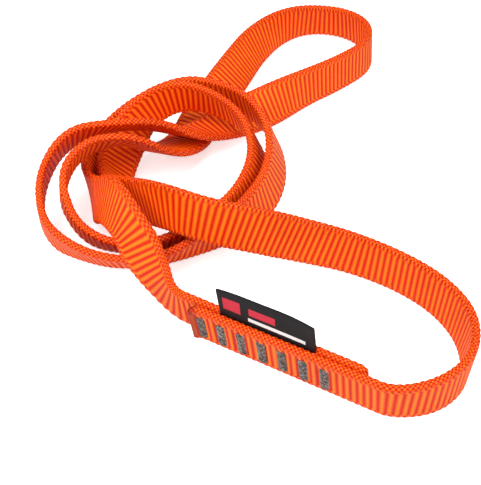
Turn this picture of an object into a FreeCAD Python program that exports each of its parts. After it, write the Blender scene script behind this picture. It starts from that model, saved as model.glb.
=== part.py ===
# A sewn nylon webbing sling, doubled and tied in a loose overhand knot.
#
# The sling is one strip of flat webbing standing on its edge.  Its two ends lie over each
# other in the splice, where seven bar tacks sew them together and a folded label is caught
# between them.  Millimetres, +Z up, the floor at Z = 0, the origin under the middle of the
# sling.  The strip is kept as named stretches that meet face to face.
import FreeCAD, Part
import math
import os

from FreeCAD import Placement, Rotation, Vector

DRIVING_SIZES = [
    ("webbing_width", 16.0),
    ("webbing_thickness", 2.6),
    ("splice_length", 56.0),
    ("splice_left", -13.2),
    ("splice_front", -42.0),
    ("splice_heading", -29.7),
    ("splice_lean", 12.0),
    ("splice_lead", 9.0),
    ("tack_length", 3.2),
    ("tack_height", 10.5),
    ("tack_rise", 2.0),
    ("tack_proud", 0.5),
    ("tack_pitch", 6.8),
    ("tack_inset", 3.3),
    ("tack_edge_radius", 0.3),
    ("label_length", 31.0),
    ("label_thickness", 0.8),
    ("label_tuck", 9.0),
    ("label_stand", 11.5),
    ("label_inset", 9.5),
    ("label_clearance", 0.4),
    ("origin_left", 0.1),
    ("origin_back", 29.8),
]
TACK_COUNT = 7
SECTION_STEP = 4.0
ARC_SHARE = 0.45
NEIGHBOUR_SHARE = 0.125
FULL_TURN = 360

# The strip's way from the right end of the splice's front layer, through both bights and
# the knot, to the left end of its back layer: X, Y, the height of the middle of the strip
# in webbing widths, and the lean in degrees from upright towards the left of the way.
ROUTE = [
    ("front_bight", [
        (56, -73, 0.52, -3), (66, -63, 0.51, -4), (68, -48, 0.52, -8), (62, -34, 0.51, -5),
        (51, -23, 0.51, -3)]),
    ("front_run", [
        (36, -14.5, 0.55, -6), (20, -14, 0.84, -9), (5, -17.5, 1.30, -10),
        (-10, -19, 1.62, -12), (-24, -12, 1.64, -10)]),
    ("inner_turn", [
        (-38, 3, 1.04, 5), (-47, 20, 0.44, 45), (-45, 36, 0.43, 52), (-36, 50.5, 1.16, 6)]),
    ("inner_top", [
        (-22, 55.5, 1.45, -18), (-8, 51.5, 1.34, -24), (3, 41, 1.18, -24)]),
    ("inner_right", [
        (7.5, 26, 0.84, -24), (1.5, 10, 0.58, -15), (-12, -2.5, 0.53, 15)]),
    ("inner_bottom", [
        (-28, -9.5, 0.44, 42), (-42, -10.5, 0.46, 38), (-54, -5, 0.66, 18)]),
    ("inner_left", [
        (-58, 7, 1.57, -30), (-51, 18, 1.70, -42), (-39, 24, 1.62, -48), (-28, 34, 0.76, -78)]),
    ("far_run_left", [
        (-20, 50, 0.21, -92), (-15, 67, 0.28, -106), (-8, 83, 0.37, -126),
        (-1, 98, 0.48, -138)]),
    ("far_bight_left", [
        (6, 115, 0.49, -150), (17, 129, 0.53, -175), (30, 135, 0.54, -195)]),
    ("far_bight_right", [
        (45, 132, 0.54, -195), (54, 121, 0.52, -185), (53, 106, 0.52, -183)]),
    ("far_run_right", [
        (40, 93, 0.51, -184), (24, 81, 0.51, -188), (8, 68, 0.48, -225),
        (-5, 59, 0.48, -252)]),
    ("outer_crossing", [
        (-18, 48.5, 0.56, -290), (-31, 39, 1.32, -309), (-45, 30.5, 1.66, -312)]),
    ("outer_left", [
        (-60, 23.5, 1.64, -332), (-68, 11, 1.00, -350), (-65, -3, 0.54, -368)]),
    ("outer_bottom", [
        (-55, -12, 0.50, -388), (-42, -17.5, 0.45, -398), (-27, -17, 0.44, -401),
        (-11, -8, 0.52, -380)]),
    ("outer_right", [
        (2, 3, 0.56, -355), (11.5, 18, 0.66, -340), (13, 34, 1.00, -338)]),
    ("outer_top", [
        (6, 49, 1.28, -338), (-7, 58, 1.34, -338), (-22, 61, 1.30, -345),
        (-39, 54, 0.88, -365)]),
    ("outer_turn", [
        (-52, 39, 0.43, -408), (-56, 22, 0.42, -410), (-52, 8, 0.68, -390)]),
    ("splice_run", [
        (-42, -8, 1.68, -328), (-33.5, -20, 1.62, -328), (-26, -30, 0.98, -340)]),
]


def make_sheet(doc):
    """Spreadsheet with one aliased cell for each driving size."""
    sheet = doc.addObject("Spreadsheet::Sheet", "Sizes")
    for row, (alias, size) in enumerate(DRIVING_SIZES, start=1):
        sheet.set("A%d" % row, alias)
        sheet.set("B%d" % row, str(size))
        sheet.setAlias("B%d" % row, alias)
    doc.recompute()
    return sheet


def splice_placement(sheet):
    """Frame of the splice: X along it, Y from its front layer to its back one, Z up it.

    Its origin is the middle of the front layer's lower edge at the left end, held up so
    that the layer's lower front corner touches the floor.
    """
    lean = Rotation(Vector(1, 0, 0), sheet.splice_lean)
    heading = Rotation(Vector(0, 0, 1), sheet.splice_heading)
    foot = sheet.webbing_thickness / 2 * math.sin(math.radians(sheet.splice_lean))
    base = Vector(sheet.splice_left - sheet.origin_left,
                  sheet.splice_front - sheet.origin_back, foot)
    return Placement(base, heading.multiply(lean))


def splice_box(doc, name, placement, start, size):
    """Box in the splice's frame, with its corner and its sides bound to the sheet."""
    box = doc.addObject("Part::Box", name)
    box.Placement = placement
    for prop, expression in zip(("Length", "Width", "Height"), size):
        box.setExpression(prop, expression)
    corner = Vector(*[box.evalExpression(expression) for expression in start])
    box.Placement = placement.multiply(Placement(corner, Rotation()))
    return box


def tack_start(number):
    """Corner of one bar tack in the splice's frame."""
    return ("Sizes.tack_inset - Sizes.tack_length / 2 + %d * Sizes.tack_pitch" % number,
            "-Sizes.webbing_thickness / 2 - Sizes.tack_proud", "Sizes.tack_rise")


def make_tacks(doc, placement):
    """Bar tacks: blocks of thread through both layers, standing proud of each face."""
    size = ("Sizes.tack_length", "2 * Sizes.webbing_thickness + 2 * Sizes.tack_proud",
            "Sizes.tack_height")
    tacks = []
    for number in range(TACK_COUNT):
        name = "bar_tack_%d" % (number + 1)
        block = splice_box(doc, name + "_block", placement, tack_start(number), size)
        doc.recompute()
        tack = doc.addObject("Part::Fillet", name)
        tack.Base = block
        radius = doc.Sizes.tack_edge_radius
        tack.Edges = [(index + 1, radius, radius) for index in range(len(block.Shape.Edges))]
        tack.Label = name
        tacks.append(tack)
    return tacks


def make_label(doc, placement):
    """Folded woven label: its root lies between the layers, its flap stands above them."""
    root = splice_box(
        doc, "label_root_cloth", placement,
        ("Sizes.label_inset", "Sizes.webbing_thickness / 2",
         "Sizes.webbing_width - Sizes.label_tuck"),
        ("Sizes.label_length", "Sizes.label_thickness", "Sizes.label_tuck"))
    flap = splice_box(
        doc, "label_flap", placement,
        ("Sizes.label_inset", "Sizes.webbing_thickness / 2",
         "Sizes.webbing_width + Sizes.label_clearance"),
        ("Sizes.label_length", "Sizes.label_thickness",
         "Sizes.label_stand - Sizes.label_clearance"))
    return root, flap


def cut_from(doc, name, base, tools):
    """The base less each of the pieces that pass through it or lie in it."""
    for number, tool in enumerate(tools, start=1):
        cut = doc.addObject("Part::Cut", "%s_cut_%d" % (name, number))
        cut.Base = base
        cut.Tool = tool
        base = cut
    base.Label = name
    return base


def make_splice_layer(doc, name, placement, start_across, tools):
    """One layer of the splice, less the tacks and the label that lie in it."""
    strip = splice_box(doc, name + "_strip", placement, ("0", start_across, "0"),
                       ("Sizes.splice_length", "Sizes.webbing_thickness",
                        "Sizes.webbing_width"))
    return cut_from(doc, name, strip, tools)


def route_stations(sheet, placement):
    """Control points of the free strip, from the splice's right end back to its left one."""
    width = sheet.webbing_width
    thickness = sheet.webbing_thickness
    shift = Vector(sheet.origin_left, sheet.origin_back, 0)
    right = sheet.splice_length
    points = [placement.multVec(Vector(right, 0, width / 2)),
              placement.multVec(Vector(right + sheet.splice_lead, 0, width / 2))]
    leans = [-sheet.splice_lean, -sheet.splice_lean]
    for _, stretch in ROUTE:
        for across, along, level, lean in stretch:
            points.append(Vector(across, along, level * width) - shift)
            leans.append(lean)
    points += [placement.multVec(Vector(-sheet.splice_lead, thickness, width / 2)),
               placement.multVec(Vector(0, thickness, width / 2))]
    leans += [-FULL_TURN - sheet.splice_lean] * 2
    return points, leans


def rounded_path(points):
    """Straight runs joined by tangent arcs, with the distance to each arc's middle."""
    edges = []
    radii = []
    middles = [0.0]
    start = points[0]
    travelled = 0.0
    for before, corner, after in zip(points, points[1:], points[2:]):
        back = (before - corner).normalize()
        ahead = (after - corner).normalize()
        half_turn = (math.pi - back.getAngle(ahead)) / 2
        reach = ARC_SHARE * min(before.distanceToPoint(corner), corner.distanceToPoint(after))
        radius = reach / math.tan(half_turn)
        bisector = (back + ahead).normalize()
        middle = corner + bisector * (radius / math.cos(half_turn) - radius)
        entry = corner + back * reach
        leave = corner + ahead * reach
        edges.append(Part.LineSegment(start, entry).toShape())
        edges.append(Part.Arc(entry, middle, leave).toShape())
        arc_length = edges[-1].Length
        middles.append(travelled + edges[-2].Length + arc_length / 2)
        travelled += edges[-2].Length + arc_length
        radii.append(radius)
        start = leave
    edges.append(Part.LineSegment(start, points[-1]).toShape())
    middles.append(travelled + edges[-1].Length)
    return Part.Wire(edges), middles, radii


def lean_at(distance, middles, leans):
    """Lean at a distance along the way, eased from each point to the next."""
    last = len(leans) - 1
    eased = [leans[0]]
    for index in range(1, last):
        near = leans[index - 1] + leans[index + 1]
        eased.append(NEIGHBOUR_SHARE * near + (1 - 2 * NEIGHBOUR_SHARE) * leans[index])
    eased.append(leans[last])
    knots = [middles[0]]
    values = [eased[0]]
    for index in range(last):
        knots += [(middles[index] + middles[index + 1]) / 2, middles[index + 1]]
        values += [(leans[index] + leans[index + 1]) / 2, eased[index + 1]]
    for index in range(len(knots) - 1):
        if distance <= knots[index + 1]:
            share = (distance - knots[index]) / (knots[index + 1] - knots[index])
            return values[index] + share * (values[index + 1] - values[index])
    return values[-1]


def cross_section(position, tangent, lean, sheet):
    """Corners of the strip's rectangle, square to its way and leaning as it does there."""
    level_left = Vector(-tangent.y, tangent.x, 0).normalize()
    angle = math.radians(lean)
    up = level_left * math.sin(angle) + Vector(0, 0, math.cos(angle))
    up = (up - tangent * up.dot(tangent)).normalize()
    side = tangent.cross(up)
    half_up = up * (sheet.webbing_width / 2)
    half_side = side * (sheet.webbing_thickness / 2)
    return [position + half_up + half_side, position + half_up - half_side,
            position - half_up - half_side, position - half_up + half_side]


def path_sections(path, middles, leans, sheet):
    """Evenly spaced stations along the whole way: distances and cross sections."""
    steps = int(math.ceil(path.Length / SECTION_STEP))
    positions = path.discretize(Number=steps + 1)
    spacing = path.Length / steps
    distances = [index * spacing for index in range(steps + 1)]
    ends = [positions[1] - positions[0], positions[-1] - positions[-2]]
    sections = []
    for index, position in enumerate(positions):
        if index == 0:
            tangent = ends[0]
        elif index == steps:
            tangent = ends[1]
        else:
            tangent = positions[index + 1] - positions[index - 1]
        lean = lean_at(distances[index], middles, leans)
        sections.append(cross_section(position, tangent.normalize(), lean, sheet))
    return distances, sections


def loft(sections):
    """Solid through a run of rectangles."""
    wires = [Part.makePolygon(corners + corners[:1]) for corners in sections]
    return Part.makeLoft(wires, True, True)


def make_stretches(doc, sheet, placement):
    """The free strip as named stretches that meet face to face."""
    points, leans = route_stations(sheet, placement)
    path, middles, radii = rounded_path(points)
    distances, sections = path_sections(path, middles, leans, sheet)
    stretches = []
    first_section = 0
    point_index = 1
    for name, stretch in ROUTE:
        point_index += len(stretch)
        if name == ROUTE[-1][0]:
            last_section = len(sections) - 1
        else:
            border = (middles[point_index] + middles[point_index + 1]) / 2
            last_section = min(range(len(distances)), key=lambda k: abs(distances[k] - border))
        solid = loft(sections[first_section:last_section + 1])
        feature = doc.addObject("Part::Feature", name)
        feature.Shape = solid
        feature.Placement = Placement()
        feature.Label = name
        stretches.append(feature)
        first_section = last_section
    section_area = sheet.webbing_width * sheet.webbing_thickness
    volume = sum(feature.Shape.Volume for feature in stretches)
    print("free strip %.1f mm, arcs of radius %.1f to %.1f mm, volume over section x length"
          " %.4f" % (path.Length, min(radii), max(radii), volume / (section_area * path.Length)))
    print("radii: " + " ".join("%.0f" % radius for radius in radii))
    print("cut length of the strip %.1f mm" % (path.Length + 2 * sheet.splice_length))
    return stretches


def check_and_export(doc, parts):
    """Refuse failed objects, then write one STEP file for each sub-part."""
    doc.recompute()
    for obj in doc.Objects:
        if "Invalid" in obj.State or "Error" in obj.State:
            raise RuntimeError("%s failed: %s" % (obj.Label, obj.State))
    for part in parts:
        if part.Shape.isNull() or not part.Shape.isValid():
            raise RuntimeError("%s has no valid shape" % part.Label)
    os.makedirs("parts", exist_ok=True)
    for part in parts:
        part.Shape.exportStep("parts/%s.step" % part.Label)
    print("%d sub-parts written" % len(parts))


def main():
    doc = FreeCAD.newDocument("WebbingSling")
    sheet = make_sheet(doc)
    placement = splice_placement(sheet)
    tacks = make_tacks(doc, placement)
    root_cloth, flap = make_label(doc, placement)
    doc.recompute()
    root = cut_from(doc, "label_root", root_cloth, tacks)
    front = make_splice_layer(doc, "splice_front", placement,
                              "-Sizes.webbing_thickness / 2", tacks)
    back = make_splice_layer(doc, "splice_back", placement,
                             "Sizes.webbing_thickness / 2", tacks + [root_cloth])
    stretches = make_stretches(doc, sheet, placement)
    check_and_export(doc, [front, back, root, flap] + tacks + stretches)


main()
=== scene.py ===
import math
import random

import bpy
import numpy as np
from mathutils import Matrix, Vector

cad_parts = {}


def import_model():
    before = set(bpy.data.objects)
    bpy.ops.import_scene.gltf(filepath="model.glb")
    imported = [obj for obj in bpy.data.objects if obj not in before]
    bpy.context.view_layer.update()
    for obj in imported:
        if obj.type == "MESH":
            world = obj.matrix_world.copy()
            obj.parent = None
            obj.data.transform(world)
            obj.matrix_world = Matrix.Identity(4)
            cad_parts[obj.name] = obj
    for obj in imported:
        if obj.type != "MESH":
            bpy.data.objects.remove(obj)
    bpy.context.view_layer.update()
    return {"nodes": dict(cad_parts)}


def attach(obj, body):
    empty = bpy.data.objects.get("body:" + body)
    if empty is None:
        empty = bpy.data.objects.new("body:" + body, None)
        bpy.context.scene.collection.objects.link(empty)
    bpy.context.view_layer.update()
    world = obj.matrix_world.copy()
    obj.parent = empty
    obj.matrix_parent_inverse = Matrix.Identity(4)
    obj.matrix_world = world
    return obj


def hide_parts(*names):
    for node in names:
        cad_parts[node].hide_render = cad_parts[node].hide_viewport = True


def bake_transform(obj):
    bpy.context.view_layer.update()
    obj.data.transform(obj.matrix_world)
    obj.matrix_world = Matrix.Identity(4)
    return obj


# Sizes that part.py has too.
WEBBING_WIDTH = 0.016
WEBBING_THICKNESS = 0.0026
SPLICE_LENGTH = 0.056
SPLICE_LEFT = -0.0132
SPLICE_FRONT = -0.042
SPLICE_HEADING = -29.7
SPLICE_LEAN = 12.0
SPLICE_LEAD = 0.009
TACK_COUNT = 7
TACK_LENGTH = 0.0032
TACK_HEIGHT = 0.0105
TACK_RISE = 0.002
TACK_PITCH = 0.0068
TACK_INSET = 0.0033
LABEL_LENGTH = 0.031
LABEL_THICKNESS = 0.0008
LABEL_TUCK = 0.009
LABEL_STAND = 0.0115
LABEL_INSET = 0.0095
LABEL_CLEARANCE = 0.0004
ORIGIN_LEFT = 0.0001
ORIGIN_BACK = 0.0298

# The strip's way between the splice's two layers: X, Y, the height of its middle in webbing
# widths, and its lean in degrees from upright towards the left of the way.
ROUTE = [
    # front bight
    (0.056, -0.073, 0.52, -3), (0.066, -0.063, 0.51, -4), (0.068, -0.048, 0.52, -8),
    (0.062, -0.034, 0.51, -5), (0.051, -0.023, 0.51, -3),
    # front run
    (0.036, -0.0145, 0.55, -6), (0.02, -0.014, 0.84, -9), (0.005, -0.0175, 1.30, -10),
    (-0.01, -0.019, 1.62, -12), (-0.024, -0.012, 1.64, -10),
    # inner turn
    (-0.036, 0.003, 1.04, 5), (-0.0440, 0.02, 0.46, 38), (-0.045, 0.036, 0.43, 52),
    (-0.036, 0.0505, 1.16, 6),
    # inner top
    (-0.022, 0.0555, 1.45, -18), (-0.008, 0.0515, 1.34, -24), (0.003, 0.041, 1.18, -24),
    # inner right
    (0.0075, 0.026, 0.84, -24), (0.0015, 0.01, 0.58, -15), (-0.012, -0.0025, 0.53, 15),
    # inner bottom
    (-0.028, -0.0095, 0.44, 42), (-0.042, -0.0105, 0.46, 38), (-0.054, -0.005, 0.66, 18),
    # inner left
    (-0.060, 0.006, 1.30, -8), (-0.053, 0.0185, 1.66, -36), (-0.039, 0.024, 1.62, -48),
    (-0.028, 0.034, 0.76, -78),
    # far run left
    (-0.0195, 0.0515, 0.21, -91), (-0.015, 0.067, 0.28, -106), (-0.008, 0.083, 0.37, -126),
    (-0.001, 0.098, 0.48, -138),
    # far bight left
    (0.006, 0.115, 0.49, -150), (0.017, 0.129, 0.53, -175), (0.03, 0.135, 0.54, -195),
    # far bight right
    (0.045, 0.132, 0.54, -195), (0.054, 0.121, 0.52, -185), (0.053, 0.106, 0.52, -183),
    # far run right
    (0.04, 0.093, 0.51, -184), (0.024, 0.081, 0.51, -188), (0.008, 0.068, 0.48, -225),
    (-0.005, 0.059, 0.48, -252),
    # outer crossing
    (-0.018, 0.0485, 0.56, -290), (-0.031, 0.039, 1.32, -309), (-0.045, 0.0305, 1.66, -312),
    # outer left
    (-0.06, 0.0235, 1.64, -332), (-0.068, 0.011, 1.00, -350), (-0.065, -0.003, 0.54, -368),
    # outer bottom
    (-0.055, -0.012, 0.50, -388), (-0.042, -0.0175, 0.45, -398), (-0.027, -0.017, 0.44, -401),
    (-0.011, -0.008, 0.52, -380),
    # outer right
    (0.002, 0.003, 0.56, -355), (0.0115, 0.018, 0.66, -340), (0.013, 0.034, 1.00, -338),
    # outer top
    (0.006, 0.049, 1.28, -338), (-0.007, 0.058, 1.34, -338), (-0.022, 0.061, 1.30, -345),
    (-0.039, 0.054, 0.88, -365),
    # outer turn
    (-0.050, 0.040, 0.48, -395), (-0.0525, 0.024, 0.47, -383), (-0.0495, 0.009, 0.66, -352),
    # splice run
    (-0.042, -0.0065, 1.56, -334), (-0.0348, -0.021, 1.72, -335), (-0.0268, -0.0298, 0.90, -348),
]

# The weave of the strip.
SPLINE_RESOLUTION = 64
RIB_PITCH = 0.0021
STATIONS_PER_RIB = 6
RIB_DEPTH = 0.00020
EDGE_RIB_DEPTH = 0.00042
RIB_ROUNDNESS = 0.6
EDGE_SLANT = 0.32
EDGE_RIB_SHIFT = 0.5
EDGE_BAND = 0.0022
CORNER_RADIUS = 0.0011
CORNER_STEPS = 5
FACE_STEPS = 13
WIDTH_WAVE = 0.00012
WIDTH_WAVE_LENGTH = 0.031
WAVE_DRIFT = 1.3
WAVE_DRIFT_LENGTH = 0.017
PINCH_DEPTH = 0.00035
PINCH_SOFTNESS = 0.0006

# The cut ends: the front one is melted and curls away, the back one has rounded corners.
END_ROUNDING = 0.0007
END_THICKNESS_SHARE = 0.45
MELT_LENGTH = 0.0034
MELT_CURL = 0.0014
MELT_SHRINK = 0.0006
MELT_SMOOTHING = 0.8
BACK_END_RADIUS = 0.0030

THREAD_RADIUS = 0.00021
THREAD_SIDES = 6
STITCHES = 22
STITCH_STEPS = 7
STITCH_SEED = 50
STITCH_SHORTFALL = 0.00018
STITCH_EXCESS = 0.00012
STITCH_SINK = 0.00006
STITCH_LIFT = 0.00008
STITCH_DRIFT = 0.00007
STITCH_CROWN = 0.00010
STITCH_DIP = 0.00085
STITCH_DIP_POWER = 5
THREAD_BED_INSET = 0.00022
BOX_FACES = [(0, 1, 2, 3), (7, 6, 5, 4), (0, 4, 5, 1), (1, 5, 6, 2), (2, 6, 7, 3), (3, 7, 4, 0)]

# The label: its cloth, and how its free part bows and ripples.
LABEL_PLY = 0.00034
LABEL_STEPS_LONG = 62
LABEL_STEPS_HIGH = 40
LABEL_FOLD_STEPS = 8
LABEL_BOW = 0.0011
LABEL_BOW_POWER = 1.4
LABEL_BOW_DROP = 0.35
LABEL_RIPPLE = 0.00012
LABEL_RIPPLE_TURN = 9
LABEL_RIPPLE_SHIFT = 0.8

CAMERA_PLACE = (-0.0001, -0.28247, 0.2275)
CAMERA_TILT = 48.0
CAMERA_LENS = 74.6
CAMERA_CLIP_START = 0.01

# Plain bars on the label's front: left, right, low and high in millimetres, and the thread.
LABEL_BARS = [
    ((1.6, 7.2, 19.2, 24.6), "red"),
    ((10.0, 18.5, 20.6, 23.8), "red"),
    ((9.6, 28.0, 17.6, 19.2), "white"),
]

# Periods of the drawn weave, in millimetres as the materials' own values are.
LOOP_PITCH_MM = 1.4
LOOP_ROW_PITCH_MM = 1.30
LOOP_ROW_SHIFT = 0.8
YARN_PITCH_MM = 0.52
WEFT_PITCH_MM = 0.22
WARP_PITCH_MM = 0.30

# Heights that the materials' bumps stand for.
WEBBING_BUMP = 0.00014
THREAD_BUMP = 0.00008
LABEL_BUMP = 0.00006
BUMP_STRENGTH = 0.6

FLOOR_SIZE = 6.0
FLOOR_GLOW = 0.62
WORLD_LIGHT = 0.42
KEY_PLACE = (-0.30, -0.35, 0.70)
KEY_POWER = 7.5
KEY_SIZE = 0.5
FILL_PLACE = (0.55, -0.35, 0.45)
FILL_POWER = 3.2
FILL_SIZE = 0.6
LIGHT_TARGET = (0, 0, 0)


def splice_frame():
    """Frame of the splice: X along it, Y from its front layer to its back one, Z up it."""
    lean = Matrix.Rotation(math.radians(SPLICE_LEAN), 4, "X")
    heading = Matrix.Rotation(math.radians(SPLICE_HEADING), 4, "Z")
    foot = WEBBING_THICKNESS / 2 * math.sin(math.radians(SPLICE_LEAN))
    place = Vector((SPLICE_LEFT - ORIGIN_LEFT, SPLICE_FRONT - ORIGIN_BACK, foot))
    return Matrix.Translation(place) @ heading @ lean


def control_points(splice):
    """The strip's control points and leans, from the front layer's end to the back one's."""
    middle = WEBBING_WIDTH / 2
    points = [splice @ Vector((along, 0, middle))
              for along in (0, SPLICE_LENGTH, SPLICE_LENGTH + SPLICE_LEAD)]
    leans = [-SPLICE_LEAN] * 3
    for x, y, level, lean in ROUTE:
        points.append(Vector((x - ORIGIN_LEFT, y - ORIGIN_BACK, level * WEBBING_WIDTH)))
        leans.append(lean)
    points += [splice @ Vector((along, WEBBING_THICKNESS, middle))
               for along in (-SPLICE_LEAD, 0, SPLICE_LENGTH)]
    leans += [-360 - SPLICE_LEAN] * 3
    return points, leans


def read_spline(points):
    """Points along the open NURBS spline that has these control points."""
    curve = bpy.data.curves.new("strip_line", "CURVE")
    curve.dimensions = "3D"
    curve.resolution_u = SPLINE_RESOLUTION
    spline = curve.splines.new("NURBS")
    spline.points.add(len(points) - 1)
    for point, place in zip(spline.points, points):
        point.co = (*place, 1.0)
    spline.order_u = 3
    spline.use_endpoint_u = True
    holder = bpy.data.objects.new("strip_line", curve)
    mesh = bpy.data.meshes.new_from_object(holder)
    line = np.empty(3 * len(mesh.vertices))
    mesh.vertices.foreach_get("co", line)
    bpy.data.meshes.remove(mesh)
    bpy.data.objects.remove(holder)
    bpy.data.curves.remove(curve)
    return line.reshape(-1, 3)


def unit(vectors):
    """The same directions, each one long."""
    return vectors / np.linalg.norm(vectors, axis=1)[:, None]


def strip_stations(splice):
    """Evenly spaced stations: distance, middle, side and up of the strip."""
    points, leans = control_points(splice)
    line = read_spline(points)
    lean_line = read_spline([(math.radians(lean), 0, 0) for lean in leans])[:, 0]
    steps = np.linalg.norm(np.diff(line, axis=0), axis=1)
    travelled = np.concatenate(([0.0], np.cumsum(steps)))
    count = int(round(travelled[-1] / RIB_PITCH)) * STATIONS_PER_RIB + 1
    distance = np.linspace(0, travelled[-1], count)
    middle = np.stack([np.interp(distance, travelled, line[:, k]) for k in range(3)], 1)
    lean = np.interp(distance, travelled, lean_line)
    tangent = unit(np.gradient(middle, axis=0))
    left = unit(np.stack([-tangent[:, 1], tangent[:, 0], np.zeros(count)], 1))
    up = left * np.sin(lean)[:, None]
    up[:, 2] += np.cos(lean)
    up = unit(up - tangent * np.sum(up * tangent, axis=1)[:, None])
    side = np.cross(tangent, up)
    return distance, middle, side, up


def outline():
    """The strip's rounded outline: places (across the thickness, up the width), normals."""
    half_width = WEBBING_WIDTH / 2
    half_thickness = WEBBING_THICKNESS / 2
    flat = half_width - CORNER_RADIUS
    cheek = half_thickness - CORNER_RADIUS
    places = []
    normals = []
    for share in np.linspace(-1, 1, FACE_STEPS)[1:-1]:
        places.append((half_thickness, share * flat))
        normals.append((1.0, 0.0))
    for quarter, (out, top) in enumerate(((1, 1), (-1, 1), (-1, -1), (1, -1))):
        for step in range(CORNER_STEPS):
            angle = math.radians(90 * (quarter + step / (CORNER_STEPS - 1)))
            normal = (math.cos(angle), math.sin(angle))
            places.append((out * cheek + CORNER_RADIUS * normal[0],
                           top * flat + CORNER_RADIUS * normal[1]))
            normals.append(normal)
        if quarter == 1:
            for share in np.linspace(1, -1, FACE_STEPS)[1:-1]:
                places.append((-half_thickness, share * flat))
                normals.append((-1.0, 0.0))
    return np.array(places), np.array(normals)


def smooth_step(low, high, value):
    """0 up to low, 1 from high on, and a smooth rise between."""
    share = np.clip((value - low) / (high - low), 0, 1)
    return share * share * (3 - 2 * share)


def rib_valley(phase):
    """1 in the groove between two ribs, 0 on a rib's crest."""
    return 1 - np.abs(np.sin(math.pi * phase)) ** RIB_ROUNDNESS


def edge_share(places):
    """1 on the strip's two edges, falling to 0 on its faces."""
    return smooth_step(WEBBING_WIDTH / 2 - EDGE_BAND, WEBBING_WIDTH / 2 - EDGE_BAND / 3,
                       np.abs(places[:, 1]))


def rib_phase(distance, places):
    """Ribs counted along the strip: on its edges they slant and are shifted."""
    edge = edge_share(places)
    slant = EDGE_SLANT * edge * places[:, 0] / (WEBBING_THICKNESS / 2)
    return distance[:, None] / RIB_PITCH + (slant + EDGE_RIB_SHIFT * edge)[None, :]


def weave_height(distance, places):
    """Height of the weave at each station and outline place."""
    depth = RIB_DEPTH + (EDGE_RIB_DEPTH - RIB_DEPTH) * edge_share(places)
    return -depth[None, :] * rib_valley(rib_phase(distance, places))


def width_wave(distance):
    """The strip's own width at each station, as a share of the plain width."""
    drift = WAVE_DRIFT * np.sin(distance / WAVE_DRIFT_LENGTH)
    return 1 + WIDTH_WAVE / WEBBING_WIDTH * np.sin(distance / WIDTH_WAVE_LENGTH + drift)


def melt_share(distance):
    """1 at the melted front end, falling to 0 over its length."""
    return 1 - np.clip(distance / MELT_LENGTH, 0, 1)


def tack_middles():
    """Distances of the bar tacks' middles along the splice."""
    return [TACK_INSET + number * TACK_PITCH for number in range(TACK_COUNT)]


def pinch(distance, total, places):
    """How far the bar tacks draw the two layers' outer faces in."""
    pull = np.zeros((len(distance), len(places)))
    low = TACK_RISE - WEBBING_WIDTH / 2
    height = (smooth_step(low - PINCH_SOFTNESS, low + PINCH_SOFTNESS, places[:, 1])
              * (1 - smooth_step(low + TACK_HEIGHT - PINCH_SOFTNESS,
                                 low + TACK_HEIGHT + PINCH_SOFTNESS, places[:, 1])))
    for middle in tack_middles():
        for start, outward in ((0.0, 1), (total - SPLICE_LENGTH, -1)):
            near = 1 - smooth_step(TACK_LENGTH / 2, TACK_LENGTH / 2 + PINCH_SOFTNESS * 2,
                                   np.abs(distance - start - middle))
            outer = places[:, 0] * outward > 0
            pull += near[:, None] * (height * outer)[None, :]
    return -PINCH_DEPTH * pull


def end_shape(distance, total, places):
    """Outline places at each station: rounded at both cut ends."""
    shaped = np.repeat(places[None, :, :], len(distance), axis=0)
    to_end = np.minimum(distance, total - distance)
    inside = 1 - np.clip(to_end / END_ROUNDING, 0, 1)
    rounding = np.sqrt(1 - inside ** 2)
    thickness = END_THICKNESS_SHARE + (1 - END_THICKNESS_SHARE) * rounding
    shaped[:, :, 0] *= thickness[:, None]
    left_over = np.clip((total - distance) / BACK_END_RADIUS, 0, 1)
    corner = BACK_END_RADIUS * (1 - np.sqrt(1 - (1 - left_over) ** 2))
    shrink = corner + MELT_SHRINK * melt_share(distance) ** 2
    shaped[:, :, 1] *= (1 - shrink / (WEBBING_WIDTH / 2))[:, None]
    return shaped


def strip_vertices(splice):
    """Rings of the strip's surface, and what its material needs at each vertex."""
    distance, middle, side, up = strip_stations(splice)
    total = distance[-1]
    places, normals = outline()
    shaped = end_shape(distance, total, places)
    height = weave_height(distance, places) + pinch(distance, total, places)
    melt = melt_share(distance)
    height *= (1 - MELT_SMOOTHING * melt)[:, None]
    across = shaped[:, :, 0] + height * normals[None, :, 0] + MELT_CURL * (melt ** 2)[:, None]
    along_width = (shaped[:, :, 1] * width_wave(distance)[:, None]
                   + height * normals[None, :, 1])
    rings = (middle[:, None, :] + side[:, None, :] * across[:, :, None]
             + up[:, None, :] * along_width[:, :, None])
    rings[:, :, 2] = np.maximum(rings[:, :, 2], 0.0)
    facts = {
        "rib": rib_phase(distance, places),
        "width_mm": np.repeat(places[None, :, 1] * 1000, len(distance), axis=0),
        "depth_mm": np.repeat(places[None, :, 0] * 1000, len(distance), axis=0),
        "run_mm": np.repeat(distance[:, None] * 1000, len(places), axis=1),
        "edge": np.repeat(edge_share(places)[None, :], len(distance), axis=0),
        "melt": np.repeat(melt[:, None], len(places), axis=1),
    }
    return rings, facts, middle, total


def ring_faces(rows, columns):
    """Quads between closed rings, and the two ends' caps."""
    faces = []
    for row in range(rows - 1):
        base = row * columns
        for column in range(columns):
            after = (column + 1) % columns
            faces.append((base + column, base + columns + column,
                          base + columns + after, base + after))
    faces.append(tuple(range(columns)))
    faces.append(tuple(range(rows * columns - 1, (rows - 1) * columns - 1, -1)))
    return faces


def add_piece(name, vertices, faces, material):
    """A smooth-shaded mesh object with one material."""
    mesh = bpy.data.meshes.new(name)
    mesh.from_pydata([tuple(vertex) for vertex in vertices], [], faces)
    mesh.update()
    mesh.polygons.foreach_set("use_smooth", [True] * len(mesh.polygons))
    mesh.materials.append(material)
    piece = bpy.data.objects.new(name, mesh)
    bpy.context.scene.collection.objects.link(piece)
    return piece


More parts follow.
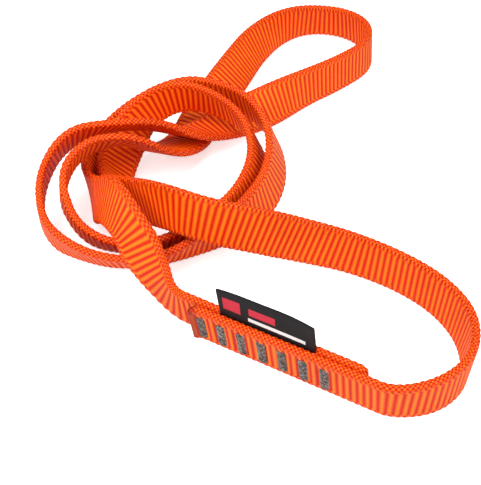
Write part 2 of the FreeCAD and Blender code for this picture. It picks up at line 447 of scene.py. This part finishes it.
def add_fact(piece, name, values):
    """Store one number for each vertex, for the material."""
    fact = piece.data.attributes.new(name, "FLOAT", "POINT")
    fact.data.foreach_set("value", np.asarray(values, np.float32).ravel())


def make_webbing(splice, material):
    """The strip, the line of its middle and its whole length."""
    rings, facts, middle, total = strip_vertices(splice)
    rows, columns, _ = rings.shape
    webbing = add_piece("webbing", rings.reshape(-1, 3), ring_faces(rows, columns), material)
    for name, values in facts.items():
        add_fact(webbing, name, values)
    return webbing, middle, total


def sweep(points, radius, sides, first):
    """Tube through the points: vertices and faces, numbered from first."""
    line = np.array(points)
    tangent = unit(np.gradient(line, axis=0))
    reference = np.array([0.0, 0.0, 1.0])
    across = unit(np.cross(tangent, reference))
    over = np.cross(across, tangent)
    vertices = []
    for place, one, other in zip(line, across, over):
        for side in range(sides):
            angle = 2 * math.pi * side / sides
            vertices.append(place + radius * (math.cos(angle) * one + math.sin(angle) * other))
    faces = [tuple(first + index for index in face) for face in ring_faces(len(line), sides)]
    return vertices, faces


def stitch_line(middle, face_y, outward, chance):
    """Zigzag of stitches over one tack, from its lower end to its upper one."""
    points = []
    spacing = (TACK_HEIGHT - 2 * THREAD_RADIUS) / STITCHES
    for stitch in range(STITCHES):
        direction = 1 if stitch % 2 == 0 else -1
        uneven = chance.uniform(-STITCH_SHORTFALL, STITCH_EXCESS)
        reach = TACK_LENGTH / 2 - THREAD_RADIUS + uneven
        lift = STITCH_CROWN + chance.uniform(-STITCH_SINK, STITCH_LIFT)
        drift = chance.uniform(-STITCH_DRIFT, STITCH_DRIFT)
        for step in range(STITCH_STEPS):
            share = -1 + 2 * step / (STITCH_STEPS - 1)
            rise = lift - STITCH_DIP * abs(share) ** STITCH_DIP_POWER
            height = TACK_RISE + THREAD_RADIUS + spacing * (stitch + 0.5 + share / 2) + drift
            points.append((middle + direction * share * reach, face_y + outward * rise, height))
    return points


def box_corners(low, high):
    """Eight corners of a box, its lower four first."""
    corners = []
    for z in (low[2], high[2]):
        corners += [np.array((low[0], low[1], z)), np.array((high[0], low[1], z)),
                    np.array((high[0], high[1], z)), np.array((low[0], high[1], z))]
    return corners


def make_tack(number, middle, splice, material):
    """One bar tack: dense zigzag stitches on both faces, over a bed of thread."""
    chance = random.Random(STITCH_SEED + number)
    vertices = []
    faces = []
    for face_y, outward in ((-WEBBING_THICKNESS / 2, -1), (1.5 * WEBBING_THICKNESS, 1)):
        line = stitch_line(middle, face_y, outward, chance)
        more_vertices, more_faces = sweep(line, THREAD_RADIUS, THREAD_SIDES, len(vertices))
        vertices += more_vertices
        faces += more_faces
    inset = THREAD_BED_INSET
    low = (middle - TACK_LENGTH / 2 + inset, -WEBBING_THICKNESS / 2 + inset / 2,
           TACK_RISE + inset)
    high = (middle + TACK_LENGTH / 2 - inset, 1.5 * WEBBING_THICKNESS - inset / 2,
            TACK_RISE + TACK_HEIGHT - inset)
    corner = len(vertices)
    vertices += box_corners(low, high)
    faces += [tuple(corner + index for index in face) for face in BOX_FACES]
    placed = [splice @ Vector(vertex) for vertex in vertices]
    return add_piece("bar_tack_thread_%d" % (number + 1), placed, faces, material)


def label_profile():
    """The folded label's outer and inner lines: (from its middle, height), front to back."""
    low = WEBBING_WIDTH - LABEL_TUCK
    fold = WEBBING_WIDTH + LABEL_STAND - LABEL_THICKNESS / 2
    lines = []
    for reach in (LABEL_THICKNESS / 2, LABEL_THICKNESS / 2 - LABEL_PLY):
        line = [(-reach, low + (fold - low) * step / LABEL_STEPS_HIGH)
                for step in range(LABEL_STEPS_HIGH)]
        for step in range(LABEL_FOLD_STEPS + 1):
            angle = math.pi * (1 - step / LABEL_FOLD_STEPS)
            line.append((reach * math.cos(angle), fold + reach * math.sin(angle)))
        line += [(reach, fold - (fold - low) * step / LABEL_STEPS_HIGH)
                 for step in range(1, LABEL_STEPS_HIGH + 1)]
        lines.append(line)
    return lines


def label_place(share, offset, height):
    """Where a point of the flat label comes to in the splice's frame, with its bow."""
    above = max(0.0, height - WEBBING_WIDTH - LABEL_CLEARANCE) / LABEL_STAND
    bow = LABEL_BOW * (1 - (2 * share - 1) ** 2) * above ** LABEL_BOW_POWER
    ripple = LABEL_RIPPLE * above * math.sin(LABEL_RIPPLE_TURN * share + LABEL_RIPPLE_SHIFT)
    along = LABEL_INSET + LABEL_LENGTH * share
    middle = WEBBING_THICKNESS / 2 + LABEL_THICKNESS / 2
    drop = LABEL_BOW_DROP * bow * above
    return Vector((along, middle + offset + bow + ripple, height - drop))


def label_faces(count):
    """Quads of the label's two sides and its four rims, for lines of so many points."""
    faces = []
    for step in range(LABEL_STEPS_LONG):
        near = step * 2 * count
        far = near + 2 * count
        for k in range(count - 1):
            faces.append((near + k, far + k, far + k + 1, near + k + 1))
            faces.append((near + count + k, near + count + k + 1,
                          far + count + k + 1, far + count + k))
        faces.append((near, near + count, far + count, far))
        faces.append((near + count - 1, far + count - 1,
                      far + 2 * count - 1, near + 2 * count - 1))
    last = LABEL_STEPS_LONG * 2 * count
    for k in range(count - 1):
        faces.append((k, k + 1, count + k + 1, count + k))
        faces.append((last + k, last + count + k, last + count + k + 1, last + k + 1))
    return faces


def make_label(splice, material):
    """The woven label: one ply folded over at the top, both ends down in the splice."""
    outer, inner = label_profile()
    vertices = []
    facts = {"run_mm": [], "rise_mm": [], "front": []}
    for step in range(LABEL_STEPS_LONG + 1):
        share = step / LABEL_STEPS_LONG
        for line in (outer, inner):
            for index, (offset, height) in enumerate(line):
                vertices.append(splice @ label_place(share, offset, height))
                facts["run_mm"].append(1000 * LABEL_LENGTH * share)
                facts["rise_mm"].append(1000 * height)
                facts["front"].append(1.0 if line is outer and offset < 0 else 0.0)
    label = add_piece("woven_label", vertices, label_faces(len(outer)), material)
    for name, values in facts.items():
        add_fact(label, name, values)
    return label


class Shader:
    """A node material with short calls for the nodes that the looks need."""

    def __init__(self, name):
        self.material = bpy.data.materials.new(name)
        self.material.use_nodes = True
        self.tree = self.material.node_tree
        self.surface = self.tree.nodes["Principled BSDF"]

    def link(self, source, socket):
        if isinstance(source, (int, float, tuple)):
            socket.default_value = source
        else:
            self.tree.links.new(source, socket)

    def fact(self, name):
        node = self.tree.nodes.new("ShaderNodeAttribute")
        node.attribute_name = name
        return node.outputs["Fac"]

    def math(self, operation, *values):
        node = self.tree.nodes.new("ShaderNodeMath")
        node.operation = operation
        for value, socket in zip(values, node.inputs):
            self.link(value, socket)
        return node.outputs[0]

    def wave(self, value, period, shift=0.0):
        """0 to 1 and back, once in each period."""
        turns = self.math("MULTIPLY_ADD", value, 2 * math.pi / period, shift)
        return self.math("MULTIPLY_ADD", self.math("SINE", turns), 0.5, 0.5)

    def place(self, x, y, z):
        node = self.tree.nodes.new("ShaderNodeCombineXYZ")
        for value, socket in zip((x, y, z), node.inputs):
            self.link(value, socket)
        return node.outputs[0]

    def noise(self, vector, scale, detail):
        node = self.tree.nodes.new("ShaderNodeTexNoise")
        node.inputs["Scale"].default_value = scale
        node.inputs["Detail"].default_value = detail
        self.link(vector, node.inputs["Vector"])
        return node.outputs["Fac"]

    def object_place(self):
        return self.tree.nodes.new("ShaderNodeTexCoord").outputs["Object"]

    def ramp(self, value, stops):
        node = self.tree.nodes.new("ShaderNodeValToRGB")
        self.link(value, node.inputs[0])
        elements = node.color_ramp.elements
        while len(elements) < len(stops):
            elements.new(0.5)
        for element, (position, colour) in zip(elements, stops):
            element.position = position
            element.color = (*colour, 1.0)
        return node.outputs["Color"]

    def mix(self, share, one, other, blend="MIX"):
        node = self.tree.nodes.new("ShaderNodeMix")
        node.data_type = "RGBA"
        node.blend_type = blend
        self.link(share, node.inputs[0])
        for value, socket in zip((one, other), (node.inputs[6], node.inputs[7])):
            self.link((*value, 1.0) if isinstance(value, tuple) else value, socket)
        return node.outputs[2]

    def bump(self, height, distance):
        node = self.tree.nodes.new("ShaderNodeBump")
        node.inputs["Distance"].default_value = distance
        node.inputs["Strength"].default_value = BUMP_STRENGTH
        self.link(height, node.inputs["Height"])
        self.link(node.outputs["Normal"], self.surface.inputs["Normal"])

    def finish(self, colour, roughness):
        self.link(colour, self.surface.inputs["Base Color"])
        self.link(roughness, self.surface.inputs["Roughness"])
        return self.material


def edge_loops(shader, run, depth):
    """Two rows of loops along an edge, half a loop apart."""
    rows = []
    for shift in (0.0, math.pi):
        along = shader.wave(run, LOOP_PITCH_MM, shift)
        across = shader.wave(depth, LOOP_ROW_PITCH_MM, LOOP_ROW_SHIFT + shift)
        rows.append(shader.math("MULTIPLY", along, across))
    return shader.math("ADD", *rows)


def webbing_material():
    """Ribbed orange nylon: bright crests as painted highlight, deep red grooves as painted shade, a
    chain of loops at the edges.
    """
    shader = Shader("orange_nylon_webbing")
    run = shader.fact("run_mm")
    width = shader.fact("width_mm")
    depth = shader.fact("depth_mm")
    edge = shader.fact("edge")
    melt = shader.fact("melt")
    place = shader.place(run, width, depth)
    unevenness = shader.noise(place, 0.9, 3.0)
    phase = shader.math("MULTIPLY_ADD", unevenness, 0.10, shader.fact("rib"))
    turn = shader.math("SINE", shader.math("MULTIPLY", phase, math.pi))
    crest = shader.math("POWER", shader.math("ABSOLUTE", turn), 1.1)
    yarns = shader.wave(shader.math("MULTIPLY_ADD", unevenness, 0.25, width), YARN_PITCH_MM)
    fuzz = shader.noise(place, 5.0, 3.0)
    loops = edge_loops(shader, run, depth)
    # Rib crests are painted lighter and the grooves between them darker: painted highlight and
    # painted shade, with the yarns and fuzz over them.
    rib_painted_shade_and_yarn_tone = shader.math("ADD", shader.math("MULTIPLY", crest, 0.80),
                           shader.math("MULTIPLY", yarns, 0.10))
    rib_painted_shade_and_yarn_tone = shader.math("MULTIPLY_ADD", fuzz, 0.22, rib_painted_shade_and_yarn_tone)
    loop_tone = shader.math("MULTIPLY_ADD", fuzz, 0.30, shader.math("MULTIPLY", loops, 0.85))
    # The deep red low stops are painted shade in the grooves; the bright orange top stops are
    # painted highlight on the crests.
    rib_colour_with_painted_shade = shader.ramp(rib_painted_shade_and_yarn_tone, [
        (0.10, (0.48, 0.010, 0.000)), (0.45, (0.66, 0.026, 0.001)),
        (0.72, (0.88, 0.078, 0.002)), (1.0, (1.00, 0.235, 0.006))])
    loop_colour = shader.ramp(loop_tone, [
        (0.10, (0.34, 0.004, 0.000)), (0.45, (0.62, 0.020, 0.001)),
        (0.80, (0.93, 0.125, 0.003)), (1.0, (1.00, 0.210, 0.006))])
    colour = shader.mix(edge, rib_colour_with_painted_shade, loop_colour)
    patches = shader.noise(place, 0.06, 2.0)
    tint = shader.ramp(patches, [(0.3, (0.90, 0.80, 0.80)), (0.7, (1.0, 1.0, 1.0))])
    colour = shader.mix(1.0, colour, tint, "MULTIPLY")
    colour = shader.mix(melt, colour, (0.20, 0.004, 0.002))
    height = shader.math("MULTIPLY_ADD", yarns, 0.22, crest)
    height = shader.math("MULTIPLY_ADD", fuzz, 0.25, height)
    height = shader.math("MULTIPLY_ADD", shader.math("MULTIPLY", loops, edge), 0.7, height)
    shader.bump(height, WEBBING_BUMP)
    rough = shader.math("MULTIPLY_ADD", fuzz, 0.16, 0.48)
    rough = shader.math("MULTIPLY_ADD", melt, -0.22, rough)
    shader.surface.inputs["Specular IOR Level"].default_value = 0.16
    return shader.finish(colour, rough)


def thread_material():
    """Mottled dark grey sewing thread."""
    shader = Shader("grey_tack_thread")
    place = shader.object_place()
    mottle = shader.noise(place, 1100.0, 3.0)
    strands = shader.noise(place, 5200.0, 2.0)
    tone = shader.math("MULTIPLY_ADD", strands, 0.45, shader.math("MULTIPLY", mottle, 0.75))
    colour = shader.ramp(tone, [
        (0.44, (0.012, 0.009, 0.009)), (0.60, (0.085, 0.064, 0.058)),
        (0.74, (0.34, 0.29, 0.26))])
    shader.bump(tone, THREAD_BUMP)
    shader.surface.inputs["Sheen Weight"].default_value = 0.1
    return shader.finish(colour, shader.math("MULTIPLY_ADD", strands, 0.2, 0.45))


def bar_mask(shader, run, rise, box):
    """1 inside a plain bar of the label, in millimetres along it and up the splice."""
    left, right, low, high = box
    sides = shader.math("MULTIPLY", shader.math("GREATER_THAN", run, left),
                        shader.math("LESS_THAN", run, right))
    ends = shader.math("MULTIPLY", shader.math("GREATER_THAN", rise, low),
                       shader.math("LESS_THAN", rise, high))
    return shader.math("MULTIPLY", sides, ends)


def label_material():
    """Black woven label with plain red and white bars on its front."""
    shader = Shader("black_woven_label")
    run = shader.fact("run_mm")
    rise = shader.fact("rise_mm")
    front = shader.fact("front")
    weft = shader.wave(rise, WEFT_PITCH_MM)
    warp = shader.wave(run, WARP_PITCH_MM)
    fuzz = shader.noise(shader.place(run, rise, 0.0), 3.5, 3.0)
    weave = shader.math("ADD", shader.math("MULTIPLY", weft, 0.6),
                        shader.math("MULTIPLY", warp, 0.4))
    tone = shader.math("MULTIPLY_ADD", fuzz, 0.5, shader.math("MULTIPLY", weave, 0.5))
    colour = shader.ramp(tone, [(0.2, (0.003, 0.003, 0.0035)), (0.8, (0.012, 0.0115, 0.0125))])
    red = shader.ramp(tone, [(0.2, (0.36, 0.010, 0.022)), (0.8, (0.66, 0.040, 0.070))])
    white = shader.ramp(tone, [(0.2, (0.55, 0.53, 0.52)), (0.8, (0.88, 0.87, 0.86))])
    for box, ink in LABEL_BARS:
        mask = shader.math("MULTIPLY", bar_mask(shader, run, rise, box), front)
        colour = shader.mix(mask, colour, red if ink == "red" else white)
    shader.bump(tone, LABEL_BUMP)
    shader.surface.inputs["Specular IOR Level"].default_value = 0.18
    return shader.finish(colour, shader.math("MULTIPLY_ADD", fuzz, 0.15, 0.62))


def floor_material():
    """White floor, lit a little from itself where the camera sees it."""
    shader = Shader("white_floor")
    tone = shader.noise(shader.object_place(), 40.0, 2.0)
    colour = shader.ramp(tone, [(0.0, (0.90, 0.90, 0.90)), (1.0, (0.92, 0.92, 0.92))])
    seen = shader.tree.nodes.new("ShaderNodeLightPath").outputs["Is Camera Ray"]
    shader.surface.inputs["Emission Color"].default_value = (1, 1, 1, 1)
    shader.link(shader.math("MULTIPLY", seen, FLOOR_GLOW),
                shader.surface.inputs["Emission Strength"])
    return shader.finish(colour, 0.9)


def make_floor():
    half = FLOOR_SIZE / 2
    corners = [(-half, -half, 0), (half, -half, 0), (half, half, 0), (-half, half, 0)]
    floor = add_piece("floor", corners, [(0, 1, 2, 3)], floor_material())


def make_world():
    """White to the camera, and a softer white light on everything else."""
    world = bpy.data.worlds.new("studio")
    world.use_nodes = True
    nodes = world.node_tree.nodes
    background = nodes["Background"]
    background.inputs["Color"].default_value = (1, 1, 1, 1)
    path = nodes.new("ShaderNodeLightPath")
    level = nodes.new("ShaderNodeMapRange")
    level.inputs["To Min"].default_value = WORLD_LIGHT
    level.inputs["To Max"].default_value = 1.0
    world.node_tree.links.new(path.outputs["Is Camera Ray"], level.inputs["Value"])
    world.node_tree.links.new(level.outputs["Result"], background.inputs["Strength"])
    bpy.context.scene.world = world


def add_light(name, place, size, power):
    light = bpy.data.lights.new(name, "AREA")
    light.size = size
    light.energy = power
    lamp = bpy.data.objects.new(name, light)
    lamp.location = place
    lamp.rotation_euler = (Vector(LIGHT_TARGET) - Vector(place)).to_track_quat("-Z", "Y").to_euler()
    bpy.context.scene.collection.objects.link(lamp)


def make_camera():
    camera = bpy.data.cameras.new("camera")
    camera.lens = CAMERA_LENS
    camera.clip_start = CAMERA_CLIP_START
    holder = bpy.data.objects.new("camera", camera)
    holder.location = CAMERA_PLACE
    holder.rotation_euler = (math.radians(CAMERA_TILT), 0, 0)
    bpy.context.scene.collection.objects.link(holder)
    bpy.context.scene.camera = holder


def main():
    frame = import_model()
    splice = splice_frame()
    webbing, middle, total = make_webbing(splice, webbing_material())
    thread = thread_material()
    tacks = [make_tack(number, place, splice, thread)
             for number, place in enumerate(tack_middles())]
    label = make_label(splice, label_material())

    strip_nodes = [node for node in frame["nodes"]
                   if not node.startswith(("bar_tack", "label"))]
    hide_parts(*strip_nodes)
    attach(webbing, "sling")
    for number, tack in enumerate(tacks, start=1):
        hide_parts("bar_tack_%d" % number)
        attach(tack, "sling")
    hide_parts("label_root", "label_flap")
    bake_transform(label)

    make_floor()
    make_world()
    add_light("key", KEY_PLACE, KEY_SIZE, KEY_POWER)
    add_light("fill", FILL_PLACE, FILL_SIZE, FILL_POWER)
    bpy.context.scene.view_settings.view_transform = "Standard"
    make_camera()


main()
